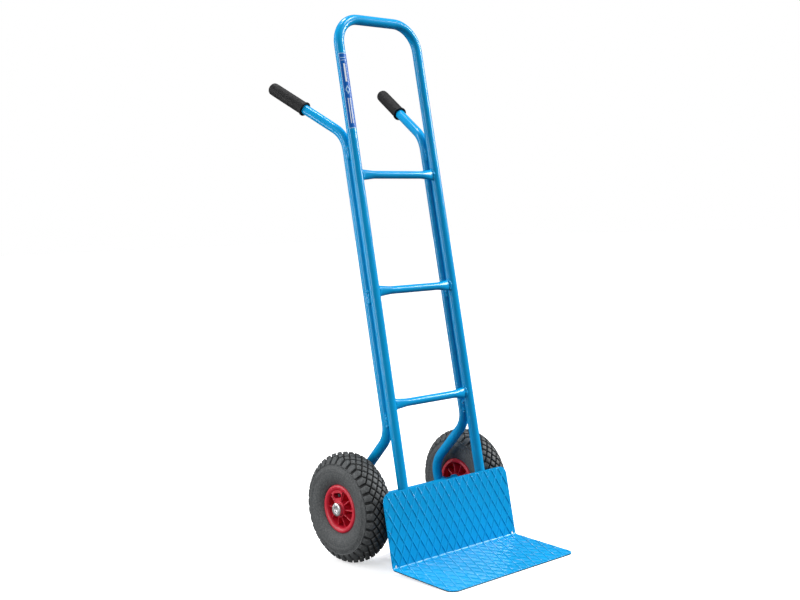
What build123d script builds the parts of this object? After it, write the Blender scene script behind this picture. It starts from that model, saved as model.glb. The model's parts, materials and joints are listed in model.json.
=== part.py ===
from build123d import *
import math
import os

# A two-wheeled hand truck: a welded tube frame, a folded tread-plate toe and two pneumatic wheels.
# Working frame in millimetres: X across the truck, Y towards the handles, Z up from the floor, with
# Y = 0 on the toe plate's fold. "Along" is a distance up the leaning frame from the floor, and
# "back" is a distance behind the plane of the hoop's legs. All parts are moved together at the end,
# so that the origin lies on the floor in the middle of the whole truck's box.

# Stance
LEAN = 9.6  # the frame leans back by this angle from the vertical
TOE_DROP = 3.3  # the toe plate slopes down to its front edge

# Toe plate
PLATE_T = 4.0
PLATE_HALF_W = 205.0
PLATE_DEPTH = 188.0
PLATE_HEIGHT = 173.0
PLATE_CORNER_R = 22.0
PLATE_FOLD_R = 5.0  # inside the fold
RELIEF_R = 2.5
RELIEF_INSET = 11.0
RELIEF_HEIGHT = 8.0  # of the small holes near the ends of the fold

# Hoop: the inverted U whose legs carry the load
HOOP_R = 12.5
TUBE_WALL = 1.5
LEG_X = 128.0
HOOP_TOP = 1315.0
HOOP_CORNER_R = 68.0
LEG_FOOT = 14.0

# Rear tubes: handles above, axle supports below
REAR_R = 12.0
TUBE_GAP = 0.3
HANDLE_ELBOW = 1029.0
HANDLE_ANGLE = 49.7  # between the handle and the frame
HANDLE_SPLAY = 16.0  # outwards, about the frame's own line
HANDLE_LENGTH = 256.0
HANDLE_BEND_R = 75.0
KNEE = 304.0  # where the tube leaves the leg
KNEE_ANGLE = 44.4  # from the vertical
KNEE_LENGTH = 161.8
KNEE_BEND_R = 58.0
SHIN_ANGLE = 13.2  # forwards from the vertical
SHIN_LENGTH = 97.0
SHIN_BEND_R = 60.0
TAIL_FOOT = 45.0  # where the tube meets the leg again

# Rungs, with ends pressed flat where they meet the legs
RUNG_R = 9.5
RUNG_WALL = 1.2
RUNG_ALONG = {"lower": 376.5, "middle": 645.5, "upper": 927.0}
RUNG_END_HALF_HEIGHT = 12.5
RUNG_END_HALF_DEPTH = 6.5
RUNG_FLAT = 20.0
RUNG_TAPER = 30.0

# Grips
GRIP_R = 16.0
GRIP_START = 140.0  # from the handle's elbow
GRIP_LENGTH = 121.0
GRIP_FLANGE_R = 18.0
GRIP_FLANGE_T = 4.0
GRIP_END_R = 9.0
GRIP_PLAY = 0.05

# Label on the hoop's left leg
LABEL_FROM = 1050.0
LABEL_TO = 1230.0
LABEL_ARC = 131.0
LABEL_T = 0.3

# Axle and what holds the wheels on it
AXLE_R = 10.0
AXLE_Y = 164.5
AXLE_Z = 130.0
AXLE_HALF_LENGTH = 229.8
AXLE_TUBE_R = 14.0
AXLE_TUBE_BORE_R = 10.1
AXLE_TUBE_HALF_LENGTH = 155.5
COLLAR_R = 18.0
COLLAR_T = 5.0
WASHER_R = 15.0
WASHER_BORE_R = 10.25
WASHER_T = 2.0
CAP_R = 15.5
CAP_EDGE_R = 2.5
CAP_LENGTH = 7.0
CAP_WALL = 1.2
CAP_DIMPLE_R = 6.0
CAP_DIMPLE_DEPTH = 3.0
CAP_GAP = 0.1  # between the washer and the cap
END_PLAY = 0.3  # between the hub and each washer

# Wheels
WHEEL_X = 194.0
TYRE_R = 130.0
TYRE_HALF_W = 41.5
TYRE_MID_R = 87.2  # radius at which the tyre is widest
TYRE_POWER = 2.17  # of the superellipse that outlines the tyre's section
TREAD_T = 8.0
SIDEWALL_T = 4.5
TUBE_PLAY = 0.5
INNER_TUBE_WALL = 2.0
BEAD_SEAT_R = 51.0
BEAD_TOE_X = 21.0
BEAD_TOP_R = 60.0
FLANGE_R = 57.0
RIM_HALF_W = 31.6
FLANGE_T = 3.0
RIM_WALL = 8.0
LIP_R = 4.0  # where the barrel turns into the rim's outer face
LIP_EDGE_R = 1.4
WEB_T = 3.0
HUB_R = 19.5
HUB_HALF_LENGTH = 31.0
HUB_BORE_R = 12.5
BEARING_R = 14.0
BEARING_LENGTH = 15.0
BEARING_CLEARANCE = 0.05
SPOKES = 10
SPOKE_T = 3.0
SPOKE_HUB_X = 29.0
SPOKE_RIM_X = 25.0
RIM_SCREWS = 5
SCREW_RING_R = 33.0
SCREW_R = 2.0
SCREW_REACH = 12.0
SCREW_HEAD_R = 4.2
SCREW_HEAD_T = 3.0
BOSS_R = 4.6
BOSS_LENGTH = 15.0
VALVE_X = 12.0
VALVE_ELBOW_R = 31.5
VALVE_STEM_R = 4.0
VALVE_RISE = 2.3  # from the bead seat to the inner tube
VALVE_NECK_R = 3.0
VALVE_TIP_X = 23.0
VALVE_CAP_R = 4.0
VALVE_CAP_LENGTH = 9.0
VALVE_CAP_END_T = 2.0
BAY_X = 30.0  # outer face of the panel that stands over the valve, in place of one spoke
BAY_T = 2.5
BAY_SLOT = (26.0, 9.0)
BAY_HALF_ANGLE = 30.0
BAY_ANGLE = 78.0  # of the panel's middle, from +Y about +X

# Welds
TACK_R = 4.0
TACK_LENGTH = 34.0
TACK_ALONG = (342.0, 635.0, 983.0)
TACK_OFFSET = 8.0
RUNG_WELD = 2.0
PLATE_WELD_ALONG = (55.0, 140.0)
AXLE_WELD_LENGTH = 8.0
AXLE_WELD_ANGLE = 48.0  # above and below the line from the axle to the rear tube
TAIL_WELD = 3.0
TAIL_WELD_LENGTH = 5.0

# Worked-out places
LEAN_RAD = math.radians(LEAN)
DROP_RAD = math.radians(TOE_DROP)
UP = Vector(0, math.sin(LEAN_RAD), math.cos(LEAN_RAD))
BACK = Vector(0, math.cos(LEAN_RAD), -math.sin(LEAN_RAD))
RIGHT = Vector(1, 0, 0)
FOLD = Vector(0, 0, PLATE_DEPTH * math.sin(DROP_RAD))
LEG_Y = (PLATE_T + HOOP_R) / math.cos(LEAN_RAD) - FOLD.Z * math.tan(LEAN_RAD)
REAR_BACK = HOOP_R + REAR_R + TUBE_GAP
HUB_INNER_X = WHEEL_X - HUB_HALF_LENGTH
HUB_OUTER_X = WHEEL_X + HUB_HALF_LENGTH


def frame_point(x, along, back=0.0):
    """A point given in the leaning frame's own directions."""
    return Vector(x, LEG_Y, 0) + UP * along + BACK * back


def sweep_circle(points, radii, radius):
    """A round bar along straight runs joined by tangent bends."""
    path = FilletPolyline(*points, radius=radii)
    section = Plane(origin=path @ 0, z_dir=path % 0) * Circle(radius)
    return sweep(section, path=path)


def bent_tube(points, radii, radius, wall):
    return sweep_circle(points, radii, radius) - sweep_circle(points, radii, radius - wall)


def rod(start, direction, length, radius):
    """A solid cylinder from a point along a direction."""
    return extrude(Plane(origin=start, z_dir=direction) * Circle(radius), amount=length)


def ring_on_axle(x_from, x_to, outer_r, inner_r):
    """A ring about the axle's line, between two places along it."""
    section = Plane(origin=(x_from, AXLE_Y, AXLE_Z), z_dir=(1, 0, 0)) * (Circle(outer_r) - Circle(inner_r))
    return extrude(section, amount=x_to - x_from)


# Hoop and rear tubes


def hoop_points():
    return [
        frame_point(-LEG_X, LEG_FOOT),
        frame_point(-LEG_X, HOOP_TOP),
        frame_point(LEG_X, HOOP_TOP),
        frame_point(LEG_X, LEG_FOOT),
    ]


def hoop_tube():
    return bent_tube(hoop_points(), [HOOP_CORNER_R] * 2, HOOP_R, TUBE_WALL)


def handle_direction(side):
    """The way a handle points, leaning back and splayed outwards."""
    angle = math.radians(HANDLE_ANGLE)
    splay = math.radians(HANDLE_SPLAY)
    sideways = RIGHT * (side * math.sin(splay)) + BACK * math.cos(splay)
    return UP * math.cos(angle) + sideways * math.sin(angle)


def rear_points(side):
    x = side * LEG_X
    elbow = frame_point(x, HANDLE_ELBOW, REAR_BACK)
    knee = frame_point(x, KNEE, REAR_BACK)
    knee_turn = math.radians(KNEE_ANGLE)
    shin_turn = math.radians(SHIN_ANGLE)
    heel = knee + Vector(0, math.sin(knee_turn), -math.cos(knee_turn)) * KNEE_LENGTH
    ankle = heel + Vector(0, -math.sin(shin_turn), -math.cos(shin_turn)) * SHIN_LENGTH
    return [
        elbow + handle_direction(side) * HANDLE_LENGTH,
        elbow,
        knee,
        heel,
        ankle,
        frame_point(x, TAIL_FOOT),
    ]


def rear_bends():
    return [HANDLE_BEND_R, KNEE_BEND_R, SHIN_BEND_R, SHIN_BEND_R]


def leg_rod(side):
    """The solid that a leg fills, for coping other parts to it."""
    return rod(frame_point(side * LEG_X, 0), UP, HOOP_TOP, HOOP_R)


def rear_tube(side):
    return bent_tube(rear_points(side), rear_bends(), REAR_R, TUBE_WALL) - leg_rod(side)


# Rungs


def rung_section(x, along, half_height, half_depth):
    plane = Plane(origin=frame_point(x, along), x_dir=UP, z_dir=(1, 0, 0))
    return plane * Ellipse(half_height, half_depth)


def rung_bar(along, inset):
    """A rung's outside, or its bore when inset by the wall."""
    mid_r = RUNG_R - inset
    end_height = RUNG_END_HALF_HEIGHT - inset
    end_depth = RUNG_END_HALF_DEPTH - inset
    flat_x = LEG_X - RUNG_FLAT
    round_x = flat_x - RUNG_TAPER
    bar = rod(frame_point(-round_x, along), RIGHT, 2 * round_x, mid_r)
    for side in (-1, 1):
        circle = Plane(origin=frame_point(side * round_x, along), x_dir=UP, z_dir=(1, 0, 0)) * Circle(mid_r)
        flat = rung_section(side * flat_x, along, end_height, end_depth)
        bar += loft([circle, flat], ruled=True)
        bar += extrude(flat, amount=side * RUNG_FLAT)
    return bar


def rung(along):
    return rung_bar(along, 0) - rung_bar(along, RUNG_WALL) - leg_rod(-1) - leg_rod(1)


# Toe plate


def plate_profile():
    """The folded sheet seen from the side, as Y and Z pairs."""
    run = Vector(0, -math.cos(DROP_RAD), -math.sin(DROP_RAD))
    normal = Vector(0, -math.sin(DROP_RAD), math.cos(DROP_RAD))
    shift = PLATE_T / math.cos(LEAN_RAD + DROP_RAD)
    front = FOLD + run * PLATE_DEPTH
    top = FOLD + UP * PLATE_HEIGHT
    inner = FOLD + UP * shift
    outer = FOLD - run * shift
    return [front, front + normal * PLATE_T, inner, top, top + BACK * PLATE_T, outer]


def toe_plate():
    corners = plate_profile()
    inner, outer = corners[2], corners[5]
    face = make_face(Polyline(*corners, close=True))
    face = fillet(face.vertices().sort_by_distance(inner)[0], PLATE_FOLD_R)
    face = fillet(face.vertices().sort_by_distance(outer)[0], PLATE_FOLD_R + PLATE_T)
    plate = extrude(face, amount=PLATE_HALF_W, dir=(1, 0, 0), both=True)
    corner_edges = [e for e in plate.edges() if abs(e.length - PLATE_T) < 0.01 and abs(e.tangent_at(0).X) < 0.1]
    plate = fillet(corner_edges, PLATE_CORNER_R)
    for side in (-1, 1):
        hole = FOLD + UP * RELIEF_HEIGHT - BACK * PLATE_T
        hole.X = side * (PLATE_HALF_W - RELIEF_INSET)
        plate -= rod(hole, BACK, 3 * PLATE_T, RELIEF_R)
    return plate


# Grips and label


def grip(side):
    direction = handle_direction(side)
    elbow = frame_point(side * LEG_X, HANDLE_ELBOW, REAR_BACK)
    start = elbow + direction * GRIP_START
    body = rod(start, direction, GRIP_LENGTH, GRIP_R)
    end_edge = body.edges().filter_by(GeomType.CIRCLE).sort_by_distance(start + direction * GRIP_LENGTH)[0]
    body = fillet(end_edge, GRIP_END_R)
    body += rod(start, direction, GRIP_FLANGE_T, GRIP_FLANGE_R)
    return body - rod(start - direction, direction, HANDLE_LENGTH - GRIP_START + 1, REAR_R + GRIP_PLAY)


def leg_label():
    """A film wrapped round the front of the left leg."""
    plane = Plane(origin=frame_point(-LEG_X, LABEL_FROM), x_dir=-BACK, z_dir=UP)
    half = LABEL_ARC / 2
    film = Circle(HOOP_R + LABEL_T) - Circle(HOOP_R)
    reach = 3 * HOOP_R
    tip = (reach * math.cos(math.radians(half)), reach * math.sin(math.radians(half)))
    wedge = make_face(Polyline((0, 0), tip, (reach, 0), (tip[0], -tip[1]), close=True))
    return extrude(plane * (film & wedge), amount=LABEL_TO - LABEL_FROM)


# Axle parts


def axle():
    return rod(Vector(-AXLE_HALF_LENGTH, AXLE_Y, AXLE_Z), RIGHT, 2 * AXLE_HALF_LENGTH, AXLE_R)


def hub_cap(side):
    """A pressed cap that grips the axle's end, with a small dimple."""
    start = Vector(HUB_OUTER_X + END_PLAY + WASHER_T + CAP_GAP, AXLE_Y, AXLE_Z)
    dimple = start + RIGHT * (CAP_LENGTH - CAP_DIMPLE_DEPTH)
    cap = rod(start, RIGHT, CAP_LENGTH, CAP_R)
    cap = fillet(cap.edges().sort_by(Axis.X)[-1], CAP_EDGE_R)
    cap -= rod(start, RIGHT, CAP_LENGTH - CAP_DIMPLE_DEPTH - CAP_WALL, AXLE_R + GRIP_PLAY)
    cap -= rod(dimple, RIGHT, CAP_DIMPLE_DEPTH, CAP_DIMPLE_R)
    return cap if side > 0 else mirror(cap, about=Plane.YZ)


def axle_collars():
    end = AXLE_TUBE_HALF_LENGTH + COLLAR_T
    right = ring_on_axle(AXLE_TUBE_HALF_LENGTH, end, COLLAR_R, AXLE_TUBE_BORE_R)
    return Compound([right, mirror(right, about=Plane.YZ)])


def axle_washers():
    inner = ring_on_axle(HUB_INNER_X - END_PLAY - WASHER_T, HUB_INNER_X - END_PLAY, WASHER_R, WASHER_BORE_R)
    outer = ring_on_axle(HUB_OUTER_X + END_PLAY, HUB_OUTER_X + END_PLAY + WASHER_T, WASHER_R, WASHER_BORE_R)
    rings = [inner, outer]
    return Compound(rings + [mirror(r, about=Plane.YZ) for r in rings])


# Wheel parts, made about the X axis with the wheel's outer face towards +X


def superellipse(half_width, height, low_r=None):
    """Points of a tyre-like section, as (x, radius), from one side over the top to the other."""
    limit = 180.0
    if low_r is not None:
        drop = (TYRE_MID_R - low_r) / height
        limit = 180.0 - math.degrees(math.acos(drop ** (TYRE_POWER / 2)))
    steps = 20
    points = []
    for i in range(steps + 1):
        angle = math.radians(-limit + 2 * limit * i / steps)
        x = math.copysign(abs(math.sin(angle)) ** (2 / TYRE_POWER), math.sin(angle))
        r = math.copysign(abs(math.cos(angle)) ** (2 / TYRE_POWER), math.cos(angle))
        points.append((half_width * x, TYRE_MID_R + height * r))
    return points


def spin(face):
    return revolve(face, axis=Axis.X)


def tyre():
    height = TYRE_R - TYRE_MID_R
    outer = superellipse(TYRE_HALF_W, height, FLANGE_R + 0.4)
    cavity = superellipse(TYRE_HALF_W - SIDEWALL_T, height - TREAD_T, BEAD_TOP_R)
    seat_r = BEAD_SEAT_R + 0.2
    heel_x = RIM_HALF_W - FLANGE_T - 0.2
    right = Polyline(outer[-1], (heel_x, FLANGE_R + 0.4), (heel_x, seat_r), (BEAD_TOE_X, seat_r), cavity[-1])
    left = Polyline(outer[0], (-heel_x, FLANGE_R + 0.4), (-heel_x, seat_r), (-BEAD_TOE_X, seat_r), cavity[0])
    return spin(make_face([Spline(*outer), right, Spline(*cavity), left]))


def inner_tube():
    half_width = TYRE_HALF_W - SIDEWALL_T - TUBE_PLAY
    height = TYRE_R - TYRE_MID_R - TREAD_T - TUBE_PLAY
    walls = []
    for inset in (0, INNER_TUBE_WALL):
        points = superellipse(half_width - inset, height - inset)
        walls.append(make_face(Spline(*points[:-1], periodic=True)))
    return spin(walls[0] - walls[1])


def rim_shell():
    """Half of the rim: barrel, bead flange, web and hub, without spokes."""
    outline = [
        (0, HUB_BORE_R),
        (HUB_HALF_LENGTH - BEARING_LENGTH, HUB_BORE_R),
        (HUB_HALF_LENGTH - BEARING_LENGTH, BEARING_R),
        (HUB_HALF_LENGTH, BEARING_R),
        (HUB_HALF_LENGTH, HUB_R),
        (WEB_T, HUB_R),
        (WEB_T, BEAD_SEAT_R - RIM_WALL),
        (RIM_HALF_W, BEAD_SEAT_R - RIM_WALL),
        (RIM_HALF_W, FLANGE_R),
        (RIM_HALF_W - FLANGE_T, FLANGE_R),
        (RIM_HALF_W - FLANGE_T, BEAD_SEAT_R),
        (0, BEAD_SEAT_R),
    ]
    face = make_face(Polyline(*outline, close=True))
    face = fillet(face.vertices().sort_by_distance((RIM_HALF_W, BEAD_SEAT_R - RIM_WALL))[0], LIP_R)
    face = fillet(face.vertices().sort_by_distance((RIM_HALF_W, FLANGE_R))[0], LIP_EDGE_R)
    return spin(face)


def around_axle(shape, angle):
    return shape.rotate(Axis.X, angle)


def spoke():
    outline = [
        (WEB_T / 2, HUB_R - 1),
        (SPOKE_HUB_X, HUB_R - 1),
        (SPOKE_RIM_X, BEAD_SEAT_R - RIM_WALL + 1),
        (WEB_T / 2, BEAD_SEAT_R - RIM_WALL + 1),
    ]
    return extrude(make_face(Polyline(*outline, close=True)), amount=SPOKE_T / 2, both=True)


def spoke_angles():
    """Angles from +Y about +X."""
    return [360 / SPOKES * i for i in range(SPOKES)]


def screw_angles():
    """The screws stand between spokes, in every second gap, clear of the valve."""
    pitch = 360 / SPOKES
    return [pitch * 1.5 + 2 * pitch * i for i in range(RIM_SCREWS)]


def radial_point(x, r, angle):
    turn = math.radians(angle)
    return Vector(x, r * math.cos(turn), r * math.sin(turn))


def turned_to_bay(shape):
    """Turns something made at the top of the wheel to where the valve is."""
    return around_axle(shape, BAY_ANGLE - 90)


def valve_panel():
    """The raised panel over the valve, with a slot to reach the valve through."""
    plane = Plane(origin=(BAY_X - BAY_T, 0, 0), x_dir=(0, 1, 0), z_dir=(1, 0, 0))
    reach = BEAD_SEAT_R
    half = math.radians(BAY_HALF_ANGLE)
    left = (-reach * math.sin(half), reach * math.cos(half))
    right = (reach * math.sin(half), reach * math.cos(half))
    wedge = make_face(Polyline((0, 0), left, (0, 2 * reach), right, close=True))
    ring = Circle(BEAD_SEAT_R - RIM_WALL + 1) - Circle(HUB_R - 1)
    slot = Pos(0, VALVE_ELBOW_R) * SlotOverall(*BAY_SLOT)
    return turned_to_bay(extrude(plane * ((ring & wedge) - slot), amount=BAY_T))


def outer_rim_half():
    half = rim_shell() + valve_panel()
    rib = spoke()
    for angle in spoke_angles():
        if abs(angle - BAY_ANGLE) > BAY_HALF_ANGLE - 1:
            half += around_axle(rib, angle)
    for angle in screw_angles():
        half += rod(radial_point(WEB_T / 2, SCREW_RING_R, angle), RIGHT, BOSS_LENGTH - WEB_T / 2, BOSS_R)
        half -= rod(radial_point(0, SCREW_RING_R, angle), RIGHT, SCREW_REACH + 0.5, SCREW_R)
    barrel_hole = rod(Vector(VALVE_X, 0, VALVE_ELBOW_R), (0, 0, 1), BEAD_SEAT_R, VALVE_STEM_R + 0.5)
    return half - turned_to_bay(barrel_hole)


def inner_rim_half():
    half = rim_shell()
    rib = spoke()
    for angle in spoke_angles():
        half += around_axle(rib, angle)
    half = mirror(half, about=Plane.YZ)
    for angle in screw_angles():
        half -= rod(radial_point(0, SCREW_RING_R, angle), -RIGHT, WEB_T, SCREW_R + 0.3)
    return half


def rim_screws():
    screws = []
    for angle in screw_angles():
        start = radial_point(-WEB_T, SCREW_RING_R, angle)
        shank = rod(start, RIGHT, WEB_T + SCREW_REACH, SCREW_R)
        screws.append(shank + rod(start, -RIGHT, SCREW_HEAD_T, SCREW_HEAD_R))
    return Compound(screws)


def bearing(end):
    """One of the hub's two plain bearings, end = 1 for the outer one."""
    inside = HUB_HALF_LENGTH - BEARING_LENGTH
    section = Plane(origin=(inside, 0, 0), z_dir=(1, 0, 0)) * (Circle(BEARING_R) - Circle(AXLE_R + BEARING_CLEARANCE))
    ring = extrude(section, amount=BEARING_LENGTH)
    return ring if end > 0 else mirror(ring, about=Plane.YZ)


def valve_stem():
    elbow = Vector(VALVE_X, 0, VALVE_ELBOW_R)
    top_r = BEAD_SEAT_R + VALVE_RISE
    stem = rod(elbow, (0, 0, 1), top_r - VALVE_ELBOW_R, VALVE_STEM_R)
    stem += Pos(elbow) * Sphere(VALVE_STEM_R)
    return turned_to_bay(stem + rod(elbow, RIGHT, VALVE_TIP_X - VALVE_X, VALVE_NECK_R))


def valve_cap():
    end_x = VALVE_TIP_X + VALVE_CAP_END_T
    start = Vector(end_x - VALVE_CAP_LENGTH, 0, VALVE_ELBOW_R)
    cap = rod(start, RIGHT, VALVE_CAP_LENGTH, VALVE_CAP_R)
    cap = fillet(cap.edges().sort_by(Axis.X)[-1], VALVE_CAP_END_T / 2)
    cap -= rod(start, RIGHT, VALVE_CAP_LENGTH - VALVE_CAP_END_T, VALVE_NECK_R)
    return turned_to_bay(cap)


def wheel_parts():
    return {
        "tyre": tyre(),
        "inner_tube": inner_tube(),
        "outer_rim_half": outer_rim_half(),
        "inner_rim_half": inner_rim_half(),
        "rim_screws": rim_screws(),
        "outer_bearing": bearing(1),
        "inner_bearing": bearing(-1),
        "valve_stem": valve_stem(),
        "valve_cap": valve_cap(),
    }


# Welds, each the metal that fills a crevice and no more


def capsule(middle, direction, length, radius):
    ends = [middle - direction * (length / 2), middle + direction * (length / 2)]
    bead = rod(ends[0], direction, length, radius)
    return bead + Pos(ends[0]) * Sphere(radius) + Pos(ends[1]) * Sphere(radius)


def tube_welds(rear_rods):
    """Tacks on both sides of the crevice between each leg and the tube behind it."""
    beads = []
    for side in (-1, 1):
        for along in TACK_ALONG:
            for offset in (-TACK_OFFSET, TACK_OFFSET):
                middle = frame_point(side * LEG_X + offset, along, HOOP_R + TUBE_GAP / 2)
                bead = capsule(middle, UP, TACK_LENGTH - 2 * TACK_R, TACK_R)
                beads.append(bead - leg_rod(side) - rear_rods[side])
    return Compound(beads)


def rung_welds():
    beads = []
    for along in RUNG_ALONG.values():
        bar = rung_bar(along, 0)
        for side in (-1, 1):
            grown = rung_section(
                side * LEG_X, along, RUNG_END_HALF_HEIGHT + RUNG_WELD, RUNG_END_HALF_DEPTH + RUNG_WELD
            )
            collar = extrude(grown, amount=-side * (HOOP_R + RUNG_WELD))
            beads.append(collar - bar - leg_rod(side))
    return Compound(beads)


def plate_welds(plate):
    beads = []
    for side in (-1, 1):
        for along in PLATE_WELD_ALONG:
            for offset in (-TACK_OFFSET, TACK_OFFSET):
                middle = frame_point(side * LEG_X + offset, along, -HOOP_R)
                bead = capsule(middle, UP, TACK_LENGTH - 2 * TACK_R, TACK_R)
                beads.append(bead - leg_rod(side) - plate)
    return Compound(beads)


def axle_welds(rear_rods):
    beads = []
    axle_rod = rod(Vector(-LEG_X * 2, AXLE_Y, AXLE_Z), RIGHT, LEG_X * 4, AXLE_TUBE_R)
    for side in (-1, 1):
        for angle in (-AXLE_WELD_ANGLE, AXLE_WELD_ANGLE):
            middle = radial_point(side * LEG_X, AXLE_TUBE_R + TACK_R / 2, angle) + Vector(0, AXLE_Y, AXLE_Z)
            bead = capsule(middle, RIGHT, AXLE_WELD_LENGTH, TACK_R)
            beads.append(bead - axle_rod - rear_rods[side])
    return Compound(beads)


def tail_welds(rear_rods, plate):
    beads = []
    for side in (-1, 1):
        ankle, foot = rear_points(side)[-2:]
        direction = (ankle - foot).normalized()
        collar = rod(foot, direction, HOOP_R + TAIL_WELD_LENGTH, REAR_R + TAIL_WELD)
        beads.append(collar - rear_rods[side] - leg_rod(side) - plate)
    return Compound(beads)


def frame_parts():
    plate = toe_plate()
    rear_rods = {side: sweep_circle(rear_points(side), rear_bends(), REAR_R) for side in (-1, 1)}
    parts = {
        "hoop_tube": hoop_tube(),
        "left_rear_tube": rear_tube(-1),
        "right_rear_tube": rear_tube(1),
        "toe_plate": plate,
        "axle_tube": ring_on_axle(
            -AXLE_TUBE_HALF_LENGTH, AXLE_TUBE_HALF_LENGTH, AXLE_TUBE_R, AXLE_TUBE_BORE_R
        ),
        "axle_collars": axle_collars(),
        "axle": axle(),
        "axle_washers": axle_washers(),
        "left_hub_cap": hub_cap(-1),
        "right_hub_cap": hub_cap(1),
        "left_grip": grip(-1),
        "right_grip": grip(1),
        "leg_label": leg_label(),
        "tube_welds": tube_welds(rear_rods),
        "rung_welds": rung_welds(),
        "plate_welds": plate_welds(plate),
        "axle_welds": axle_welds(rear_rods),
        "tail_welds": tail_welds(rear_rods, plate),
    }
    for name, along in RUNG_ALONG.items():
        parts[name + "_rung"] = rung(along)
    return parts


def truck_parts():
    parts = frame_parts()
    place = Pos(WHEEL_X, AXLE_Y, AXLE_Z)
    for name, piece in wheel_parts().items():
        right = place * piece
        parts["right_" + name] = right
        parts["left_" + name] = mirror(right, about=Plane.YZ)
    return parts


def centring_move(parts):
    """The move along Y that puts the origin under the middle of the truck."""
    boxes = [piece.bounding_box() for piece in parts.values()]
    front = min(box.min.Y for box in boxes)
    back = max(box.max.Y for box in boxes)
    return Pos(0, -(front + back) / 2, 0)


def main():
    parts = truck_parts()
    move = centring_move(parts)
    os.makedirs("parts", exist_ok=True)
    for name, piece in parts.items():
        export_step(move * piece, os.path.join("parts", name + ".step"))
    print("moved along Y by", round(move.position.Y, 3))
    print("axle at Y", round(AXLE_Y + move.position.Y, 3), "Z", AXLE_Z)
    print("nodes", len(parts))


main()
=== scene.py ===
import json
import math
import random

import bmesh
import bpy
import numpy as np
from mathutils import Matrix, Vector, noise


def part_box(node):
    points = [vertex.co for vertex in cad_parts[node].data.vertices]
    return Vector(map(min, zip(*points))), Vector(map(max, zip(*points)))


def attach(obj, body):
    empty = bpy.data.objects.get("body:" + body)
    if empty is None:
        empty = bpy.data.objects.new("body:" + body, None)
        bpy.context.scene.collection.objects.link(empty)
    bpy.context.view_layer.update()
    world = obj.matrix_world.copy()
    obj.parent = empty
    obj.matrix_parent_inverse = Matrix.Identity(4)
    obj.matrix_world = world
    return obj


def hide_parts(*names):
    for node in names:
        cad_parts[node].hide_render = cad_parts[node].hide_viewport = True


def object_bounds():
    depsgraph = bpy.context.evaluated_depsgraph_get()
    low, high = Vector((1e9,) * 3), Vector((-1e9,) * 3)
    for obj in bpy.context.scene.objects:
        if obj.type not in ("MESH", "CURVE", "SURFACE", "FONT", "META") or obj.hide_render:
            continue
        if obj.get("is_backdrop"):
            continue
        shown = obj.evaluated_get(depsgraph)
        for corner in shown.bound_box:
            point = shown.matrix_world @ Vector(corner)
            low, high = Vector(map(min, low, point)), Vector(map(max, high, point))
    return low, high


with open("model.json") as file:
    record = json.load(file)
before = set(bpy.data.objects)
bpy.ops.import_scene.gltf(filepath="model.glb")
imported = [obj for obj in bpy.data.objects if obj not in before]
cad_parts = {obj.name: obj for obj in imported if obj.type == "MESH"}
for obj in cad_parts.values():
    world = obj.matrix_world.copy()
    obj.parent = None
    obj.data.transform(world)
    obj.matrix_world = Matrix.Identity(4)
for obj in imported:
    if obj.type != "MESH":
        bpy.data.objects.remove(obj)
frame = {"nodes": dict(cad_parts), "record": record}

# A blue welded hand truck with a folded tread-plate toe and two pneumatic wheels, in metres.
# "Along" is a distance up the leaning frame from the floor and "back" is a distance behind the
# plane of the hoop's legs, as in the CAD model. Places are worked out from the axle's and the
# wheels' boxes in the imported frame.

CAD_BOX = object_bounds()
MM = 0.001

# The leaning frame's own directions
LEAN = math.radians(9.6)
TOE_DROP = math.radians(3.3)
UP = Vector((0, math.sin(LEAN), math.cos(LEAN)))
BACK = Vector((0, math.cos(LEAN), -math.sin(LEAN)))
RIGHT = Vector((1, 0, 0))

# Tubes
HOOP_R = 12.5 * MM
REAR_R = 12 * MM
TUBE_GAP = 0.3 * MM
REAR_BACK = HOOP_R + REAR_R + TUBE_GAP
LEG_X = 128 * MM
LEG_OFFSET_Y = 14.9 * MM  # from the fold to a leg's axis, at the floor
HANDLE_ELBOW = 1029 * MM
HANDLE_ANGLE = math.radians(49.7)
HANDLE_SPLAY = math.radians(16)
AXLE_TUBE_R = 14 * MM
TAIL_FOOT = 45 * MM
TAIL_RISE = math.radians(14.55)  # of the rear tubes' last run, going back
TAIL_DIRECTION = Vector((0, math.cos(TAIL_RISE), math.sin(TAIL_RISE)))

# Toe plate
PLATE_T = 4 * MM
PLATE_HALF_W = 205 * MM
PLATE_DEPTH = 188 * MM
PLATE_HEIGHT = 173 * MM
PLATE_CORNER_R = 22 * MM
FOLD_R = 5 * MM
RELIEF_R = 3 * MM
RELIEF_INSET = 11 * MM
RELIEF_HEIGHT = 8 * MM
RIDGE_HEIGHT = 1.5 * MM
RIDGE_WIDTH = 5 * MM
RIDGE_TAPER = 1.5 * MM
RIDGE_MARGIN = 1.2 * MM  # left flat along the plate's rim
RIM_BEVEL = 0.4 * MM
RIDGE_SECTION = (  # across in half widths, and up from the crest in ridge heights
    (-1, -1.3),
    (-0.8, -0.95),
    (-0.35, -0.1),
    (-0.15, 0),
    (0.15, 0),
    (0.35, -0.1),
    (0.8, -0.95),
    (1, -1.3),
)
GLINT_STRIPS = (2, 3, 4)  # of the section's edges, those given a pale painted glint
DIAMOND_WIDTH = 24.8 * MM
DIAMOND_LENGTH = 48.6 * MM
DIAMOND_MIDDLE = (1.3 * MM, 151 * MM)  # across, and up from the fold

# Grips
GRIP_START = 140 * MM
GRIP_LENGTH = 121 * MM
GRIP_BORE_R = 12.05 * MM
GRIP_BORE_END = 116.2 * MM
GRIP_R = 15.7 * MM
GRIP_FLANGE_R = 18 * MM
GRIP_RIBS = 40
GRIP_RIB_HEIGHT = 0.3 * MM
GRIP_RIBS_FROM = 9 * MM
GRIP_RIBS_TO = 108 * MM

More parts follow.
